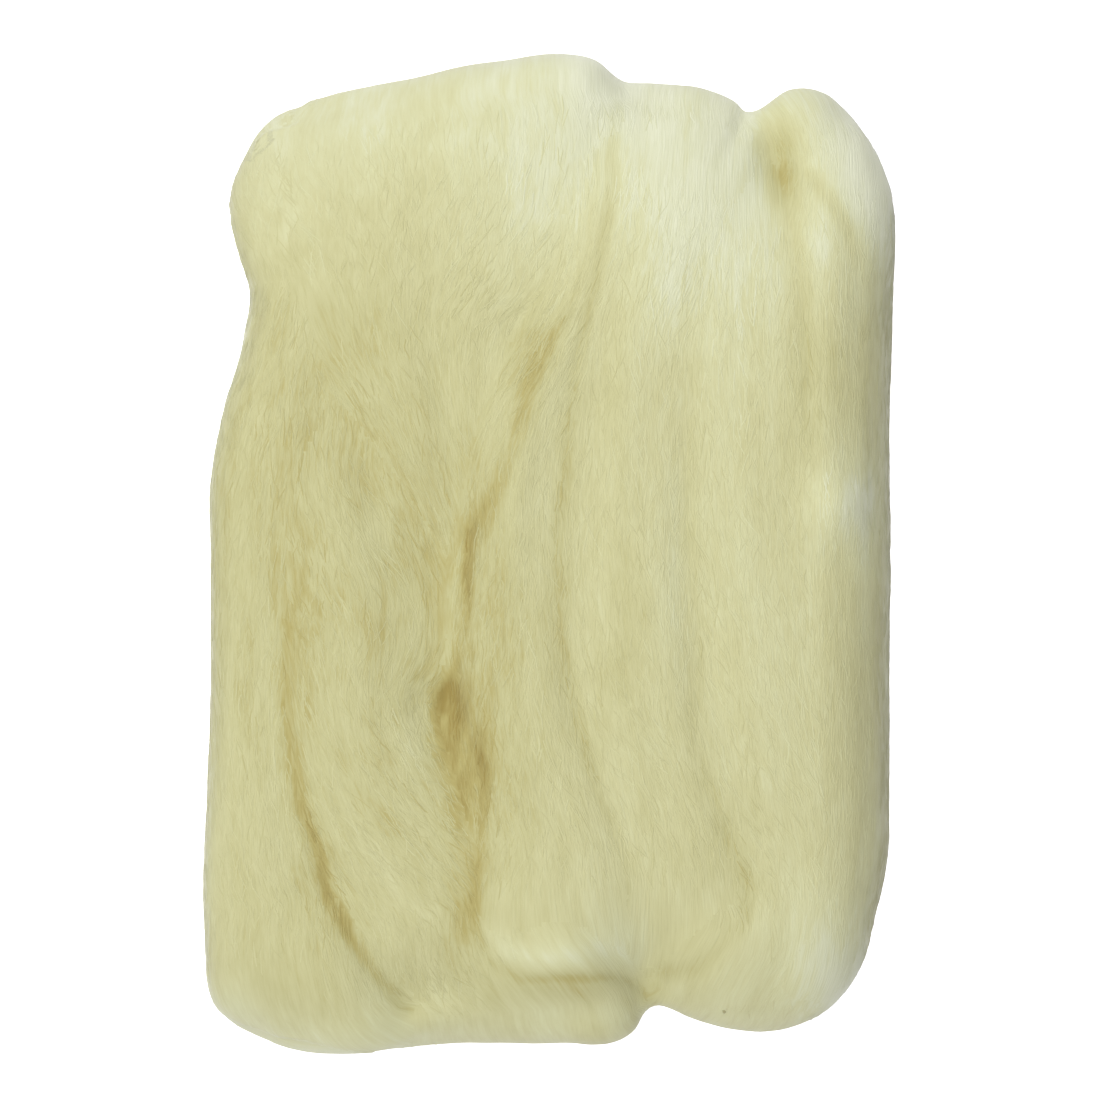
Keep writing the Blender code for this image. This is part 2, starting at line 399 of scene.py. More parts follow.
# Combed streaks as a group: noise at the place in mm, its x moved by a slow noise less its
# middle times the wander and divided by the width, its y divided by the length
def streakGroup():
    group = bpy.data.node_groups.new("combedStreaks", "ShaderNodeTree")
    group.interface.new_socket("Place", in_out="INPUT", socket_type="NodeSocketVector")
    for name in ("Width", "Length", "Wander"):
        group.interface.new_socket(name, in_out="INPUT", socket_type="NodeSocketFloat")
    group.interface.new_socket("Streak", in_out="OUTPUT", socket_type="NodeSocketFloat")
    nodes, links = group.nodes, group.links
    entry, result = nodes.new("NodeGroupInput"), nodes.new("NodeGroupOutput")
    split = nodes.new("ShaderNodeSeparateXYZ")
    links.new(entry.outputs["Place"], split.inputs[0])
    slow = nodes.new("ShaderNodeTexNoise")
    setInputs(slow, streaks["bending"])
    links.new(entry.outputs["Place"], slow.inputs["Vector"])
    bent = maths(group, "SUBTRACT", slow.outputs["Fac"], 0.5)
    shift = maths(group, "MULTIPLY", bent, entry.outputs["Wander"])
    moved = maths(group, "ADD", split.outputs[0], shift)
    across = maths(group, "DIVIDE", moved, entry.outputs["Width"])
    along = maths(group, "DIVIDE", split.outputs[1], entry.outputs["Length"])
    place = nodes.new("ShaderNodeCombineXYZ")
    for value, socket in zip((across, along, split.outputs[2]), place.inputs):
        links.new(value, socket)
    streak = nodes.new("ShaderNodeTexNoise")
    setInputs(streak, streaks["noise"])
    links.new(place.outputs[0], streak.inputs["Vector"])
    links.new(streak.outputs["Fac"], result.inputs["Streak"])
    return group


combedStreaks = streakGroup()


# The colour of a tone as a group that both materials share: a ramp at tone / palest tone
def toneGroup():
    group = bpy.data.node_groups.new("woolTone", "ShaderNodeTree")
    group.interface.new_socket("Tone", in_out="INPUT", socket_type="NodeSocketFloat")
    group.interface.new_socket("Color", in_out="OUTPUT", socket_type="NodeSocketColor")
    nodes, links = group.nodes, group.links
    entry, result = nodes.new("NodeGroupInput"), nodes.new("NodeGroupOutput")
    ramp = nodes.new("ShaderNodeValToRGB")
    stops = ramp.color_ramp.elements
    while len(stops) < len(woolTones):
        stops.new(0.5)
    for stop, (place, colour) in zip(stops, woolTones):
        stop.position, stop.color = place / palestTone, colour
    links.new(maths(group, "DIVIDE", entry.outputs[0], palestTone), ramp.inputs[0])
    links.new(ramp.outputs[0], result.inputs[0])
    return group


woolTone = toneGroup()

wool = {
    "look": {
        "Roughness": 0.9,
        "Specular IOR Level": 0.2,
        "Sheen Weight": 0.6,
        "Sheen Roughness": 0.4,
    },
    # the height of the fine streaks, and how strongly it shows
    "bump": {"Distance": 0.2 * mm, "Strength": 0.5},
    # how far the single fibres differ in tone, from the deepest to the palest
    "fibreRange": 0.18,
}


# A material whose shader has the values of a look
def newMaterial(name, look):
    material = bpy.data.materials.new(name)
    material.use_nodes = True
    shader = material.node_tree.nodes["Principled BSDF"]
    setInputs(shader, look)
    return material, material.node_tree, shader


def colourOf(tree, tone, shader):
    node = tree.nodes.new("ShaderNodeGroup")
    node.node_tree = woolTone
    tree.links.new(tone, node.inputs[0])
    tree.links.new(node.outputs[0], shader.inputs["Base Color"])


# The combed skin: tone = the place's own tone, which holds painted light and shade, + each
# streak less its middle, times its amount; the last streaks, the fine ones, are the bump too
def skinWool():
    material, tree, shader = newMaterial("combedWool", wool["look"])
    nodes, links = tree.nodes, tree.links
    place = nodes.new("ShaderNodeAttribute")
    place.attribute_name = "combed"
    own = nodes.new("ShaderNodeAttribute")
    own.attribute_name = "tone"
    tone = own.outputs["Fac"]
    layers = streaks["layers"].values()
    for shape, amount in layers:
        streak = nodes.new("ShaderNodeGroup")
        streak.node_tree = combedStreaks
        links.new(place.outputs["Vector"], streak.inputs["Place"])
        setInputs(streak, shape)
        tone = maths(tree, "MULTIPLY_ADD", streak.outputs[0], amount, tone)
    middle = sum(amount for shape, amount in layers) / 2
    colourOf(tree, maths(tree, "SUBTRACT", tone, middle), shader)
    bump = nodes.new("ShaderNodeBump")
    setInputs(bump, wool["bump"])
    links.new(streak.outputs[0], bump.inputs["Height"])
    links.new(bump.outputs[0], shader.inputs["Normal"])
    return material


# The single fibres: tone = the place's own tone with its painted light and shade, up the
# map, + the fibre's share of the range less its half, across the map
def fibreWool():
    material, tree, shader = newMaterial("fibreWool", wool["look"])
    layout = tree.nodes.new("ShaderNodeUVMap")
    layout.uv_map = "OFBake"
    split = tree.nodes.new("ShaderNodeSeparateXYZ")
    tree.links.new(layout.outputs[0], split.inputs[0])
    whole = wool["fibreRange"]
    share = maths(tree, "MULTIPLY_ADD", split.outputs[0], whole, -whole / 2)
    tone = maths(tree, "MULTIPLY_ADD", split.outputs[1], palestTone, share)
    colourOf(tree, tone, shader)
    return material


combedWool, singleFibre = skinWool(), fibreWool()
print("wool materials")

studio = {
    # in mm: the camera's lens and sensor, the width that it frames at its middle level, and
    # where it stands over the wool
    "lens": 85,
    "sensor": 36,
    "frameWidth": 176.5,
    "level": 17.5,
    "centre": (0.16, 0.72),
    # the nearest and furthest that it sees, in metres
    "clip": (0.01, 20),
    "floorHalf": 2000,
    "floorLevel": -0.2,
    "floorLook": {"Base Color": (0.8, 0.8, 0.8, 1), "Roughness": 1, "Specular IOR Level": 0},
    "world": {"Color": (1, 1, 1, 1), "Strength": 0.12},
    # name, place in mm, size in mm, watts
    "lamps": (
        ("lampTop", (-100, 620, 420), 500, 2.2),
        ("lampLeft", (-500, 370, 420), 500, 0.6),
        ("lampFront", (-100, -620, 420), 500, 2.1),
        ("lampAbove", (-140, 60, 785), 600, 3.3),
    ),
}
cameraDistance = studio["frameWidth"] * studio["lens"] / studio["sensor"]

skin = {
    # in mm: points nearer than this are one, the size of the faces, how far folds are
    # filled and the least height over the floor
    "doubles": 0.001,
    "voxel": 0.8,
    "filled": 1.6,
    "lowest": 0.03,
    # how often it is smoothed before and after the folds are filled
    "softened": 6,
    "smoothed": 4,
    # how often the copy is smoothed that calms the front, how far the front goes towards it,
    # and where that sets in: how far a face looks up and, in mm, how high it is
    "calmed": 160,
    "calm": 0.5,
    "calmFacing": (0.1, 0.6),
    "calmHeight": (4, 12),
    # places that are calmed fully: the middle, half width and half length in mm
    "calmPlaces": (
        (-44, 69, 12, 12), (10, -60, 9, 9), (18, -63, 9, 9), (9, 72, 6, 12), (31, 65, 9, 12),
        (-25, 4, 9, 16), (23, 10, 9, 40), (36, -5, 7, 45), (-35, -60, 9, 14), (-10, -63, 6, 7),
        (-17, -27, 7, 12), (5, -20, 5, 28),
    ),
    # the right shoulder's fall in mm: where it starts, over how far and with which power it
    # grows, how much it is, and where it sets in along the side and up from the floor
    "rightFall": {
        "start": 41,
        "over": 13,
        "power": 1.5,
        "most": 4.5,
        "along": (64, 34),
        "height": (4, 22),
    },
}

# The outline from above: its distance from the middle in mm at angles in degrees round it,
# how far in a change fades out, the number of directions in which the skin is measured and
# how often the skin is smoothed after each time that it is fitted
outline = {
    "rays": (
        (0, 54.8), (12, 56.0), (24, 60.0), (36, 68.2), (48, 81.2), (56, 85.5), (60, 85.8),
        (63, 83.2), (64, 81.2), (65, 78.2), (68, 78.4), (72, 78.5), (78, 77.2), (81, 76.4),
        (84, 78.9), (88, 79.9), (96, 79.3), (102, 79.3), (108, 80.0), (114, 81.1), (117, 81.7),
        (120, 82.8), (122, 82.8), (124, 82.3), (128, 79.9), (132, 76.6), (135, 71.5),
        (138, 65.0), (144, 60.4), (156, 57.2), (168, 55.6), (180, 54.3), (192, 55.4),
        (204, 59.2), (210, 62.7), (216, 67.7), (228, 82.6), (233, 89.7), (240, 90.1),
        (252, 83.6), (256, 81.1), (264, 78.9), (272, 78.7), (276, 79.2), (280, 77.7),
        (283, 74.6), (288, 78.9), (294, 84.1), (300, 85.9), (307, 83.1), (312, 78.4),
        (319, 72.3), (324, 67.6), (336, 59.8), (348, 55.9), (360, 54.8),
    ),
    "fade": 14,
    "directions": 240,
    "smoothings": (12, 4, 2),
}


# A modifier that moves each point half of the way to the middle of its neighbours, again
# and again
def addSmooth(piece, times):
    smooth = piece.modifiers.new("smooth", "SMOOTH")
    smooth.factor, smooth.iterations = 0.5, times
    return smooth


# The points as they would be, smoothed a number of times
def smoothedPoints(piece, times):
    smooth = addSmooth(piece, times)
    points = pointsOf(piece)
    piece.modifiers.remove(smooth)
    return points


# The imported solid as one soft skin: doubles merged, subdivided and softened, then swollen
# and shrunk again so that narrow folds fill, each time remeshed to even small faces
def makeSkin():
    piece = addObject("woolSkin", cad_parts["roving"].data.copy())
    shape = bmesh.new()
    shape.from_mesh(piece.data)
    bmesh.ops.remove_doubles(shape, verts=shape.verts, dist=skin["doubles"] * mm)
    shape.to_mesh(piece.data)
    shape.free()
    divide = piece.modifiers.new("divide", "SUBSURF")
    divide.levels = divide.render_levels = 1
    addSmooth(piece, skin["softened"])
    for outward in (1, -1):
        swell = piece.modifiers.new("swell", "DISPLACE")
        swell.mid_level, swell.strength = 0, outward * skin["filled"] * mm
        even = piece.modifiers.new("even", "REMESH")
        even.mode, even.voxel_size = "VOXEL", skin["voxel"] * mm
    addSmooth(piece, skin["smoothed"])
    applyModifiers(piece)
    piece.data.materials.clear()
    piece.data.shade_smooth()
    return piece


# The locks' own grids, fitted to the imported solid's box as the solid itself is
def fittedGrids():
    grids = {name: list(lockGrid(lock)) for name, lock in locks.items()}
    everything = np.vstack([entry[0].reshape(-1, 3) for entry in grids.values()])
    low, high = everything.min(axis=0), everything.max(axis=0)
    low[2] = winding["restingLevel"]
    foot = np.array([(low[0] + high[0]) / 2, (low[1] + high[1]) / 2, low[2]])
    for entry in grids.values():
        entry[0] = (entry[0] - foot) * np.array(winding["size"]) / (high - low) * mm
    return grids


# A lock's own form as a mesh whose map holds the shares along and round it
def lockForm(name, points):
    rows, columns = points.shape[:2]
    faces, places = closedGrid(rows, columns)
    form = newMesh(name, points, faces)
    layer = form.data.uv_layers.new(name="place")
    shares = places / np.array([rows, columns])
    layer.uv.foreach_set("vector", shares.astype(np.float32).ravel())
    return form


# Each skin point's place on a lock's form, read off that map by a Data Transfer
def placesOn(form, piece, firstCorner):
    transfer = piece.modifiers.new("transfer", "DATA_TRANSFER")
    transfer.object = form
    transfer.use_loop_data = True
    transfer.data_types_loops = {"UV"}
    transfer.loop_mapping = "POLYINTERP_NEAREST"
    depsgraph = bpy.context.evaluated_depsgraph_get()
    mesh = piece.evaluated_get(depsgraph).data
    uv = np.empty(len(mesh.loops) * 2, np.float32)
    mesh.uv_layers["place"].uv.foreach_get("vector", uv)
    piece.modifiers.remove(transfer)
    return uv.reshape(-1, 2)[firstCorner]


def normalsOf(piece):
    normals = np.empty(len(piece.data.vertices) * 3)
    piece.data.vertices.foreach_get("normal", normals)
    return normals.reshape(-1, 3)


def movePoints(piece, points):
    piece.data.vertices.foreach_set("co", points.ravel())
    piece.data.update()


# The points with the front's hollows made shallower: each goes part of the way to its place
# on a much smoothed copy, as far as it faces up, and all the way at the calm places
def calmedPoints(piece):
    points, calm = pointsOf(piece), smoothedPoints(piece, skin["calmed"])
    share = skin["calm"] * smoothStep(*skin["calmFacing"], normalsOf(piece)[:, 2])
    high = smoothStep(*skin["calmHeight"], points[:, 2] / mm)
    for x, y, wide, long in skin["calmPlaces"]:
        away = np.hypot((points[:, 0] / mm - x) / wide, (points[:, 1] / mm - y) / long)
        share = np.maximum(share, np.exp(-(away**2)) * high)
    return points + (calm - points) * share[:, None]


# The right shoulder let down: by the most * (the share of the way across it) ^ power, less
# towards the top bend and towards the floor
def lowerShoulder(points):
    fall = skin["rightFall"]
    x, y, height = points.T / mm
    past = np.clip((x - fall["start"]) / fall["over"], 0, 1) ** fall["power"]
    past = past * smoothStep(*fall["along"], y)
    points[:, 2] -= fall["most"] * mm * past * smoothStep(*fall["height"], height)
    return points


# The cubic Hermite curve through measured values, its slopes taken from their neighbours
def curveThrough(places, values, at):
    slopes = np.gradient(values, places)
    i = np.clip(np.searchsorted(places, at) - 1, 0, len(places) - 2)
    gap = places[i + 1] - places[i]
    t = np.clip((at - places[i]) / gap, 0, 1)
    rising = t * t * (3 - 2 * t)
    bend = gap * t * (1 - t) * (slopes[i] * (1 - t) - slopes[i + 1] * t)
    return values[i] * (1 - rising) + values[i + 1] * rising + bend


# The skin moved in or out so that it reaches the measured outline: each point's distance
# from the middle, as the camera sees it, is a share of the outline's, and the greatest
# share in each direction is brought to one, fading out inward of the edge
def fitOutline(piece):
    points = pointsOf(piece) / mm
    x, y, height = points.T
    seen = cameraDistance / (cameraDistance + studio["level"] - height)
    turn = np.arctan2(y, x) / (2 * np.pi) % 1
    angles, distances = np.array(outline["rays"], float).T
    wanted = curveThrough(angles, distances, turn * 360)
    share = np.hypot(x, y) * seen / wanted
    count = outline["directions"]
    most = np.zeros(count)
    np.maximum.at(most, np.round(turn * count).astype(int) % count, share)
    most = np.interp(turn * count, np.arange(count + 1), np.append(most, most[0]))
    near = smoothStep(outline["fade"], 0, (most - share) * wanted)
    points[:, :2] *= (1 + (1 / most - 1) * near)[:, None]
    movePoints(piece, points * mm)


woolSkin = makeSkin()
print("skin", len(woolSkin.data.polygons), "faces")
movePoints(woolSkin, lowerShoulder(calmedPoints(woolSkin)))
for times in outline["smoothings"]:
    fitOutline(woolSkin)
    movePoints(woolSkin, smoothedPoints(woolSkin, times))
print("outline fitted", len(outline["smoothings"]), "times")

# the skin's arrays: its points, their normals, and the point of each face's corners
skinPoints, skinNormals = pointsOf(woolSkin), normalsOf(woolSkin)
cornerPoint = np.empty(len(woolSkin.data.loops), int)
woolSkin.data.loops.foreach_get("vertex_index", cornerPoint)
firstCorner = np.unique(cornerPoint, return_index=True)[1]
cornerPoint = cornerPoint.reshape(-1, 4)

grids = fittedGrids()
woolSkin.data.uv_layers.new(name="place")
places, depths = [], []
for name, (points, length, girth) in grids.items():
    form = lockForm(name + "Form", points)
    on, outward = nearestOn(form, skinPoints)
    places.append(placesOn(form, woolSkin, firstCorner))
    depths.append(((skinPoints - on) * outward).sum(axis=1) / mm)
    bpy.data.objects.remove(form)
    print("place on", name)
woolSkin.data.uv_layers.remove(woolSkin.data.uv_layers["place"])
# how far the skin is above each lock's own form; the topmost lock's is the least
places, depths = np.array(places), np.array(depths)
topmost = depths.argmin(axis=0)

relief = {
    # how long and wide the ridges are, and how high, in mm
    "ridges": ((24, 3.4, 0.17), (10, 1.7, 0.14)),
    # how long and wide the paler and deeper tufts are, and how much
    "tufts": ((14, 3.2, 0.03), (9, 1.6, 0.04)),
    # the ridges are this much lower on the right, from and to these places across
    "flatter": (0.6, 12, 34),
    # locks that are this much deeper than the topmost, in mm, count for 1 / e
    "blend": 0.8,
    # how far a face looks down where creases and rims start, and up where they are full
    "front": (-0.3, 0.1),
    # how far apart in the noise the streaks of two locks are read
    "apart": 7.3,
}


# The creases that show on the front: the tint of painted shade in them, groove depth and
# half width in mm, and the line they run along, with the strength at each point
creases = {
    "fanSide": (
        0.7, 0.3, 2.1,
        (
            (7.6, 70, 0.1), (7.2, 62, 0.4), (6.2, 50, 0.4), (3.4, 41, 0.5),
            (-0.4, 34, 0.95), (-3.2, 27.6, 1), (-4.1, 23.7, 0.9), (-5.4, 19.5, 0.7),
            (-7.5, 12.4, 0.65), (-10.8, 7, 0.8), (-12, 1, 0.6), (-12.6, -8, 0.4),
            (-13.2, -16, 0.5),
        ),
    ),
    "middleLeftSide": (
        0.95, 0.25, 1.3,
        (
            (-7.4, 14, 0.1), (-11.2, 7, 0.45), (-12.7, 2, 0.85), (-13, -4, 0.8),
            (-13, -9, 0.7), (-13.8, -14, 0.4), (-16.2, -23, 0.85), (-13.9, -28.5, 0.6),
            (-10.5, -34.7, 0.65), (-10.9, -46, 0.25), (-12.1, -55.6, 0.5), (-11.6, -60.4, 0.5),
            (-9.5, -65, 0.45), (-4, -68.6, 0.5), (2, -68.2, 0.6), (9.8, -68.1, 0.85),
            (14, -69, 0.7), (17.5, -73, 0.5),
        ),
    ),
    "underLoop": (
        0.55, 0.1, 3,
        ((-8, -70.5, 0.5), (4, -70.3, 0.7), (12, -69.3, 0.9), (16, -70.3, 0.7)),
    ),
    "betweenMiddles": (
        0.6, 0.1, 1.3,
        (
            (10.4, 71, 0.45), (10.4, 60, 0.6), (9.3, 53.7, 1), (7.2, 42.4, 0.7),
            (4.3, 29.5, 0.7), (3.1, 20, 0.75), (2.8, 13.3, 0.9), (1.9, 5, 0.5),
            (1.9, -1, 0.4), (2.1, -13.9, 0.3), (4.1, -24, 0.5), (6, -31, 0.6),
            (8.6, -39.5, 0.6), (12.1, -48.9, 0.35), (12.5, -58, 0.2),
        ),
    ),
    "middleRightSide": (
        0.6, 0.2, 1.5,
        (
            (22.6, 29.4, 0.1), (21.8, 5.4, 0.2), (24.3, -13.9, 0.35), (22.9, -26.7, 0.35),
            (25.8, -38, 0.45), (29.1, -46.3, 0.55), (32.4, -53.7, 0.6), (31.5, -58.5, 0.6),
            (28, -62.9, 0.6), (24, -66.6, 0.65), (20, -67, 0.7), (16, -68, 0.4),
        ),
    ),
    "bellySide": (
        0.75, 0.2, 1.4,
        (
            (-42.2, -8, 0.1), (-42.2, -14, 0.25), (-42.8, -21, 0.45), (-42.3, -27, 0.5),
            (-41, -34.8, 0.7), (-39.7, -41.2, 0.75), (-37.4, -47.1, 0.75), (-35.4, -54.2, 0.9),
            (-31.9, -61.5, 0.9), (-27.7, -67.5, 0.75), (-22.5, -73, 0.5),
        ),
    ),
    "bellyCurl": (
        0.22, 0.1, 1.6,
        ((-34, -31, 0.4), (-31.5, -37.5, 1), (-26.5, -42.7, 1), (-20, -46, 0.4)),
    ),
    "fanLeft": (
        0.2, 0, 1.8,
        ((-39, 48.7, 0.8), (-35.6, 37.5, 0.8), (-34.6, 27.8, 0.8), (-36.2, 17, 0.6)),
    ),
    "earSide": (
        0.7, 0.3, 1.4,
        (
            (33.8, 70, 0.2), (37.4, 62.3, 0.9), (39.5, 50.2, 0.5), (40.9, 43, 0.3),
            (41.4, 37.5, 0.45), (41.6, 30, 0.5), (41.8, 24, 0.4), (42.2, 15, 0.3),
        ),
    ),
    "earFold": (
        0.85, 0.2, 1.5,
        (
            (39.2, 62.5, 0.3), (41.5, 60.9, 0.7), (45.7, 56, 0.6), (48.2, 51.8, 0.6),
            (49.1, 47, 0.3),
        ),
    ),
}
# Dimples: the tint of painted shade in them, depth in mm, then the middle, half width, half
# length and turn in degrees
dimples = {
    "upperDark": (0.55, 0.4, -13.0, 2.0, 1.7, 4.5, 3),
    "pit": (1.45, 0.6, -16.4, -23.2, 1.8, 3.7, -18),
    "aroundPit": (0.9, 0.3, -15.2, -26, 3.0, 7.5, -5),
    "underPit": (0.5, 0.4, -12.2, -32.5, 2.8, 8, 12),
    "earPit": (1.35, 0.4, 37.4, 61.6, 3.0, 6.0, 12),
    "earShade": (1.2, 0, 37.2, 65, 3.6, 5.2, 0),
    # these stand out
    "besideFan": (0, -0.6, 11.3, 71, 2.5, 7, 0),
    "besideEar": (0, -0.9, 31.7, 64, 3, 6, 0),
    "rightBump": (0, -1.5, 46.2, 8, 4, 5.5, 0),
}


# The rims of the turns, raised and painted paler as a highlight: how much paler, height and
# half width in mm, and their line
rimHighlights = {
    "loopRimHighlight": (
        0.3, 0.2, 2.3,
        (
            (-9.4, -57, 0), (-8.6, -61, 0.4), (-5.8, -64.3, 1), (-1, -65.3, 1),
            (5, -64.5, 0.7), (9.5, -63, 0.3),
        ),
    ),
}

# Paler and deeper zones, partly the wool's own tone and mostly painted light on the rims and
# edges and painted shade in the folds and on the right edge: how much, the middle, half
# width and half length
toneLightAndShadeZones = {
    "leftMiddle": (-0.28, -28, -7, 26, 44),
    "leftEdge": (-0.1, -44, -12, 7, 30),
    "besideCrease": (-0.14, -14, -40, 6, 24),
    "middleFoot": (-0.1, -5, -38, 6, 22),
    "rightFoot": (-0.12, 38, -46, 6, 14),
    "notchSide": (0.2, 12, -66, 4, 9),
    "bottomRim": (0.3, -33, -79, 24, 5),
    "bottomLeft": (-0.1, -44, -60, 14, 20),
    "bottomRight": (0.2, 44, -66, 10, 12),
    "topDip": (0.15, 13, 74, 4, 7),
    "fanMiddle": (-0.06, -24, 38, 24, 20),
    "fanFoot": (0.06, -27, 7, 6, 14),
    "topRim": (0.3, -10, 80, 60, 22),
    "upperRight": (0.22, 28, 60, 26, 22),
    "leftRim": (0.15, -56, 45, 9, 24),
    "rightInner": (0.1, 30, 10, 6, 30),
    "rightEdge": (0.05, 55, 0, 12, 70),
    "ear": (0.12, 43, 66, 9, 9),
    "loopEnd": (0.08, 1, -63, 7, 3.5),
    "bump": (0.12, 45.1, 7.8, 4, 5),
    "bellyTop": (0.2, -29, 1, 3, 7),
    "besidePit": (0.24, -21, -27.5, 2.6, 6.5),
    "abovePit": (0.14, -20.7, -14, 3, 6),
    "fanHeart": (0.12, -24.7, 27.8, 3, 5),
    "fanShoulder": (0.16, -1, 58, 8, 7),
    "fanCrown": (0.1, -24, 47, 4, 6),
    "rightValley": (0.17, 19.6, 5, 2.6, 21),
    "upperValley": (0.14, 19.5, 42, 3, 9),
    "upperInner": (0.11, 29, 41, 7, 12),
    "middleRidge": (-0.09, 11.4, 25, 2, 12),
    "footRidge": (-0.1, 27.4, -47, 2.5, 5),
    "besideLoop": (-0.22, -14.2, -59, 2.5, 7),
    "fanFold": (-0.12, -3.5, 32, 4, 9),
    "edgeFold": (-0.25, 55.5, 6, 2.2, 8),
    "innerFold": (-0.16, 9.8, -22, 3, 10),
    "besideLine": (-0.12, -8, -3, 2, 14),
    "underFan": (-0.16, -11.6, 14.2, 2.5, 5),
    "pitFoot": (-0.22, -14.1, -38.6, 2, 4.5),
    "besideRun": (-0.12, -10.2, -28, 1.6, 7),
    "bellyStreak": (0.14, -30, -23, 2, 8),
    "leftStreak": (0.13, -45.3, -23, 2.5, 11),
    "besideCorner": (-0.1, -39.2, -55, 2.5, 7),
    "lowerLeftEdge": (0.15, -55, -60, 3, 14),
    "notchShoulder": (0.2, 30, 71, 3, 4),
    "underEdge": (0.16, 5, -73.5, 10, 3.5),
    "earFoot": (0.2, 43.5, 49.5, 2.8, 6),
    "earEdge": (0.6, 53, 64, 6, 14),
    "besideBump": (0.32, 49.8, 8, 3.5, 8),
    "rightSlope": (-0.17, 47.5, 28, 4, 10),
    "rightCorner": (0.4, 50.5, -71.5, 7, 8),
    "leftCorner": (0.25, -52, -73, 5, 5),
    "leftSlope": (-0.1, -49, 12, 3.5, 12),
    "fanSlope": (-0.1, -49, 57, 3.5, 8),
    "topStep": (0.35, 8.5, 77, 5, 5),
}
plainTone = 0.66


# A bell curve of the distance to a line, times the strength at its nearest place
def bellAlong(line, wide, x, y):
    line = np.array(line)
    start, run = line[:-1, None], np.diff(line, axis=0)[:, None]
    offset = np.stack([x, y], axis=-1) - start[..., :2]
    share = (offset * run[..., :2]).sum(-1) / (run[..., :2] ** 2).sum(-1)
    share = np.clip(share, 0, 1)[..., None]
    away = np.linalg.norm(offset - share * run[..., :2], axis=-1)
    strength = (start[..., 2:] + share * run[..., 2:])[..., 0]
    return (strength * np.exp(-((away / wide) ** 2))).max(axis=0)


# The tone at each point, with its painted light and shade, and the depth there: plain tone +
# each zone's bell curve + the rims' painted highlight - half the painted crease shade, which
# is the strongest of the bell curves of the creases and dimples
def reliefAt(points, normals):
    # places as the camera sees them at its middle level
    seen = cameraDistance / (cameraDistance + studio["level"] - points[:, 2])
    x, y = points[:, 0] * seen, points[:, 1] * seen
    tone, paintedShade, deep = np.full(x.shape, plainTone), np.zeros(x.shape), np.zeros(x.shape)
    for amount, middleX, middleY, wide, long in toneLightAndShadeZones.values():
        tone += amount * np.exp(-(((x - middleX) / wide) ** 2) - ((y - middleY) / long) ** 2)
    for shadeTint, depth, wide, line in creases.values():
        bell = bellAlong(line, wide, x, y)
        paintedShade, deep = np.maximum(paintedShade, shadeTint * bell), np.maximum(deep, depth * bell)
    for shadeTint, depth, middleX, middleY, wide, long, turn in dimples.values():
        cos, sin = np.cos(np.radians(turn)), np.sin(np.radians(turn))
        a = ((x - middleX) * cos + (y - middleY) * sin) / wide
        b = ((y - middleY) * cos - (x - middleX) * sin) / long
        bell = np.exp(-(a**2 + b**2))
        paintedShade, deep = np.maximum(paintedShade, shadeTint * bell), deep + depth * bell
    front = smoothStep(*relief["front"], normals[:, 2])
    for paler, height, wide, line in rimHighlights.values():
        bell = bellAlong(line, wide, x, y) * front
        tone, deep = tone + paler * bell, deep - height * bell
    return tone - paintedShade * front / 2, deep * front


# Combed layers at each skin point: each lock's combed grain read at the point's place on
# it, weighted by how near the lock is to the top
def combedLayers(layers):
    weights = np.exp((depths.min(axis=0) - depths) / relief["blend"])
    total = np.zeros(len(skinPoints))
    for (points, length, girth), place, weight in zip(grids.values(), places, weights):
        layer = sum(
            amount * combedGrain(points.shape[:2], length, girth, along, across)
            for along, across, amount in layers
        )
        total += weight * readField(layer, place[:, 0], place[:, 1])
    return total / weights.sum(axis=0)


# the tones hold the painted light and shade of the zones, rims, creases and dimples
tonesWithPaintedLight, groove = reliefAt(skinPoints / mm, skinNormals)
tufting = combedLayers(relief["tufts"])
tonesWithPaintedLight = np.clip(tonesWithPaintedLight + tufting, 0, palestTone)
lower, nearer, further = relief["flatter"]
ridging = 1 - lower * smoothStep(nearer, further, skinPoints[:, 0] / mm)
heights = combedLayers(relief["ridges"]) * ridging - groove
skinPoints = skinPoints + skinNormals * (heights * mm)[:, None]
skinPoints[:, 2] = np.maximum(skinPoints[:, 2], skin["lowest"] * mm)
movePoints(woolSkin, skinPoints)
print("relief on the skin")

# each face takes the combing of the lock that is topmost over it, in mm round and along,
# all its corners on the same turn
faceLock = depths[:, cornerPoint].mean(axis=2).argmin(axis=0)
combed = places[faceLock[:, None], cornerPoint]
combed = combed - np.round(combed - combed[:, :1])
lockSizes = np.array([(length, girth) for points, length, girth in grids.values()])
combed = combed * lockSizes[faceLock][:, None]
apart = np.repeat(faceLock[:, None, None] * relief["apart"], 4, axis=1)
combed = np.concatenate([combed[..., ::-1], apart], axis=-1)
addValues(woolSkin, "combed", "FLOAT_VECTOR", "CORNER", combed)
# the tone attribute carries the painted light and shade with the wool's own tone
addValues(woolSkin, "tone", "FLOAT", "POINT", tonesWithPaintedLight)
woolSkin.data.materials.append(combedWool)

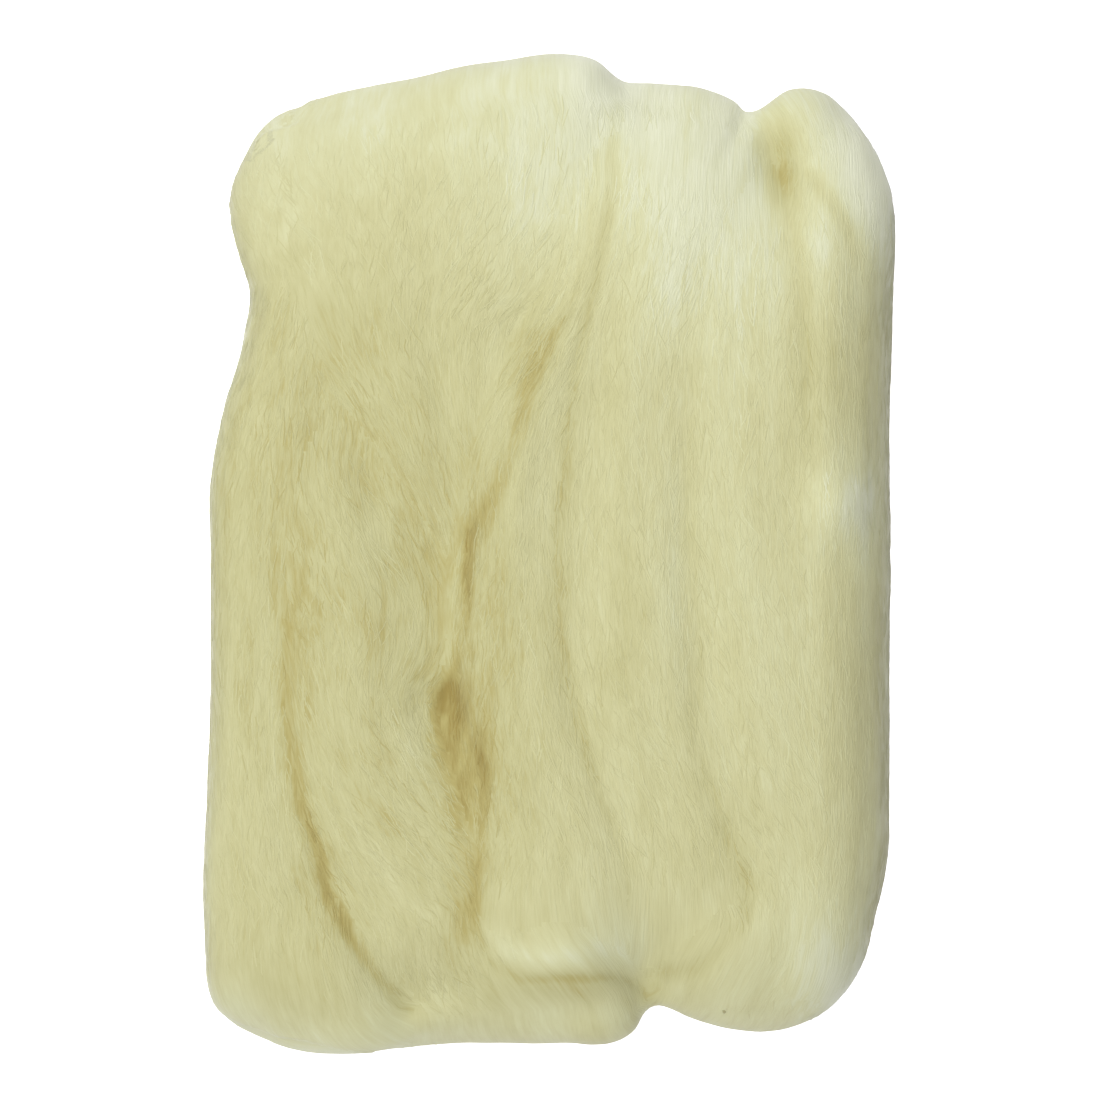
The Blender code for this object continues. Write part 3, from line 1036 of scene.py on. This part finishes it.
fibre = {
    # where a face looks down more than this there is only this share of the fibres
    "underside": -0.3,
    "underneath": 0.25,
    "points": 5,
    # how long and wide the swaying tufts are in mm, and how much they turn
    "sway": (16, 6, 0.1),
    # how long and wide the paler and deeper tufts are, and how much
    "tufts": (6, 0.8, 0.06),
    # the least and most that the tufts change a fibre's tone
    "tuftRange": (-0.08, 0.2),
    # how far a fibre's middle is above the skin in mm, how far it bobs up and down and how
    # far its tips dip; how fast it waves and bobs, in radians to half its length
    "rise": 0.02,
    "lift": 0.03,
    "dip": 0.2,
    "dipPower": 4,
    "waving": 3,
    "bobbing": 2.5,
    # how much narrower the tips are, and the power with which a fibre narrows
    "taper": 0.75,
    "taperPower": 3,
    # the height of the crest and how round it looks, for a half width of one
    "crest": 0.6,
    "roundness": 0.4,
    # the longest step, for an even one of one, and the cosine of the sharpest turn
    "longestStep": 1.5,
    "sharpestTurn": 0.85,
    # the edge of the map that stays free
    "mapEdge": 0.01,
    # the lengths and half widths in mm, how they turn and wave, and how much paler they are
    "kinds": {
        "Fibres": {
            "perSquareMm": 0.75,
            "length": (2.5, 7),
            "halfWidth": (0.05, 0.12),
            "drift": 0.2,
            "wave": 0.04,
            "paler": 0.0,
        },
        "Strays": {
            "perSquareMm": 0.05,
            "length": (4, 11),
            "halfWidth": (0.035, 0.06),
            "drift": 0.4,
            "wave": 0.07,
            "paler": 0.09,
        },
    },
}

# the points' places along a fibre, from -1 at one tip to 1 at the other
fibrePlaces = np.linspace(-1, 1, fibre["points"])[None]


# A random value for each fibre, or a random phase
def pick(count, low=0, high=2 * np.pi):
    return rng.uniform(low, high, (count, 1))


# The fibres' paths on the skin, the normals there and how much paler each fibre is. Each
# starts at a point of the skin where the lock is topmost and follows the lock's own form:
# round the lock it goes by its reach * (drift + its tuft's sway) + a wave * the sine of its
# place along the fibre
def fibrePaths(name, number, kind):
    points, length, girth = grids[name]
    own = np.flatnonzero(topmost == number)
    downward = skinNormals[own, 2] < fibre["underside"]
    wanted = np.where(downward, fibre["underneath"], 1)
    count = int(wanted.sum() * skin["voxel"] ** 2 * kind["perSquareMm"])
    start = rng.choice(own, count, p=wanted / wanted.sum())
    jitter = rng.uniform(-skin["voxel"], skin["voxel"], (count, 2)) / (length, girth)
    u0, v0 = (places[number][start] + jitter).T
    reach = pick(count, *kind["length"]) / 2
    sway, tuft = (
        amount * readField(combedGrain(points.shape[:2], length, girth, long, wide), u0, v0)
        for long, wide, amount in (fibre["sway"], fibre["tufts"])
    )
    slope = rng.normal(0, kind["drift"], count) + sway
    wave = rng.normal(0, kind["wave"], (count, 1)) * 2 * reach
    waved = wave * np.sin(pick(count) + fibre["waving"] * fibrePlaces)
    u = u0[:, None] + fibrePlaces * reach / length
    v = v0[:, None] + (fibrePlaces * reach * slope[:, None] + waved) / girth
    on, normal = nearestOn(woolSkin, readField(points, u, v))
    # one that would jump across a fold or turn sharply is left out
    steps = np.diff(on, axis=1)
    longest = np.linalg.norm(steps, axis=2).max(axis=1) / mm
    straight = (unit(steps[:, 1:]) * unit(steps[:, :-1])).sum(axis=2).min(axis=1)
    keep = longest < fibre["longestStep"] * (2 * reach[:, 0] / (fibre["points"] - 1))
    keep &= straight > fibre["sharpestTurn"]
    paler = np.clip(tufting[start] + tuft, *fibre["tuftRange"]) + kind["paler"]
    return on[keep], normal[keep], paler[keep]


# Rings of three points round the paths, and the ways they face: a path rises by the rise +
# the lift * a sine - the dip * (its place) ^ power, and its half width is 1 - the taper *
# (its place) ^ power
def fibreRings(on, normal, kind):
    bob = np.sin(pick(len(on)) + fibre["bobbing"] * fibrePlaces)
    dip = fibre["dip"] * np.abs(fibrePlaces) ** fibre["dipPower"]
    middle = on + normal * ((fibre["rise"] + fibre["lift"] * bob - dip) * mm)[..., None]
    side = unit(np.cross(normal, np.gradient(middle, axis=1)))
    narrowed = 1 - fibre["taper"] * np.abs(fibrePlaces) ** fibre["taperPower"]
    half = (pick(len(on), *kind["halfWidth"]) * narrowed * mm)[..., None]
    crest = middle + normal * (half * fibre["crest"])
    rings = np.stack([middle + side * half, crest, middle - side * half], axis=2)
    rings[..., 2] = np.maximum(rings[..., 2], skin["lowest"] * mm)
    lean = side * fibre["roundness"]
    return rings, unit(np.stack([normal + lean, normal, normal - lean], axis=2))


# The triangles of many three-sided tubes of some rings each, closed at both ends
def tubeFaces(count, rings):
    first = np.arange(count)[:, None, None] * rings * 3
    step = np.arange(rings - 1)[None, :, None] * 3
    edge = np.arange(3)[None, None]
    a, b = first + step + edge, first + step + (edge + 1) % 3
    halves = ((a, b, b + 3), (a, b + 3, a + 3))
    walls = [np.stack(corners, axis=-1).reshape(-1, 3) for corners in halves]
    start = first[:, 0]
    return np.vstack([*walls, start + [2, 1, 0], start + (rings - 1) * 3 + [0, 1, 2]])


# One kind of fibres on one lock; their map holds the fibre's share across and the tone, with
# its painted light and shade, up
def layFibres(name, number, kindName):
    kind = fibre["kinds"][kindName]
    on, normal, paler = fibrePaths(name, number, kind)
    rings, facing = fibreRings(on, normal, kind)
    own = reliefAt(on.reshape(-1, 3) / mm, normal.reshape(-1, 3))[0]
    tone = own.reshape(on.shape[:2]) + paler[:, None]
    share = np.repeat(rng.random((len(on), 1)), fibre["points"], axis=1)
    uv = np.stack([share, tone / palestTone], axis=-1).reshape(-1, 2)
    uv = np.repeat(uv, 3, axis=0)
    faces = tubeFaces(len(on), fibre["points"])
    piece = newMesh(name + kindName, rings, faces)
    piece.data.normals_split_custom_set_from_vertices(facing.reshape(-1, 3))
    edge = fibre["mapEdge"]
    cornerUv(piece, edge + (1 - 2 * edge) * np.clip(uv[faces.ravel()], 0, 1))
    piece.data.materials.append(singleFibre)
    print(kindName, name, len(on), len(faces))
    return piece


fibres = [
    layFibres(name, number, kindName)
    for number, name in enumerate(locks)
    for kindName in fibre["kinds"]
]

# The speck of husk caught in the wool near the bottom right, in mm
fleck = {
    "place": (27.4, -71.9),
    "halfSizes": (0.3, 0.45, 0.15),
    "look": {"Base Color": (0.42, 0.39, 0.21, 1), "Roughness": 0.8},
    # how much nearer a face that looks up counts than one that looks sideways
    "upward": 2,
}


# A small flattened ball at the point of the front that is nearest to the place
def makeFleck():
    away = np.hypot(*(skinPoints[:, :2] / mm - fleck["place"]).T)
    away -= fleck["upward"] * skinNormals[:, 2]
    shape = bmesh.new()
    bmesh.ops.create_icosphere(shape, subdivisions=2, radius=mm)
    bmesh.ops.scale(shape, vec=fleck["halfSizes"], verts=shape.verts)
    bmesh.ops.translate(shape, vec=skinPoints[away.argmin()], verts=shape.verts)
    mesh = bpy.data.meshes.new("fleck")
    shape.to_mesh(mesh)
    shape.free()
    mesh.shade_smooth()
    mesh.materials.append(newMaterial("husk", fleck["look"])[0])
    return addObject("fleck", mesh)


speck = makeFleck()
print("fleck")

# everything rides on the one body
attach(woolSkin, "root")
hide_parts("roving")
for piece in (*fibres, speck):
    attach(piece, "root")


def makeFloor():
    half, level = studio["floorHalf"] * mm, studio["floorLevel"] * mm
    corners = [(x * half, y * half, level) for x, y in ((-1, -1), (1, -1), (1, 1), (-1, 1))]
    mesh = bpy.data.meshes.new("floor")
    mesh.from_pydata(corners, [], [(0, 1, 2, 3)])
    material, tree, shader = newMaterial("floor", studio["floorLook"])
    # extra light for the camera alone keeps the floor pale right up to the wool
    nodes, links = tree.nodes, tree.links
    glow, total = nodes.new("ShaderNodeEmission"), nodes.new("ShaderNodeAddShader")
    glow.inputs["Color"].default_value = (1, 1, 1, 1)
    links.new(nodes.new("ShaderNodeLightPath").outputs["Is Camera Ray"], glow.inputs["Strength"])
    links.new(shader.outputs[0], total.inputs[0])
    links.new(glow.outputs[0], total.inputs[1])
    links.new(total.outputs[0], nodes["Material Output"].inputs["Surface"])
    mesh.materials.append(material)
    addObject("floor", mesh)


# The lamps all look at the origin
def makeLamps():
    for name, place, size, power in studio["lamps"]:
        lamp = bpy.data.lights.new(name, "AREA")
        lamp.shape, lamp.size, lamp.energy = "SQUARE", size * mm, power
        holder = addObject(name, lamp)
        holder.location = [value * mm for value in place]
        aim = -holder.location
        holder.rotation_euler = aim.to_track_quat("-Z", "Y").to_euler()
    world = bpy.data.worlds.new("studio")
    world.use_nodes = True
    setInputs(world.node_tree.nodes["Background"], studio["world"])
    bpy.context.scene.world = world


def makeCamera():
    camera = bpy.data.cameras.new("camera")
    camera.lens, camera.sensor_width = studio["lens"], studio["sensor"]
    camera.clip_start, camera.clip_end = studio["clip"]
    holder = addObject("camera", camera)
    x, y = studio["centre"]
    holder.location = (x * mm, y * mm, (studio["level"] + cameraDistance) * mm)
    bpy.context.scene.camera = holder


makeFloor()
makeLamps()
makeCamera()
bpy.context.scene.view_settings.view_transform = "Standard"
print("studio")
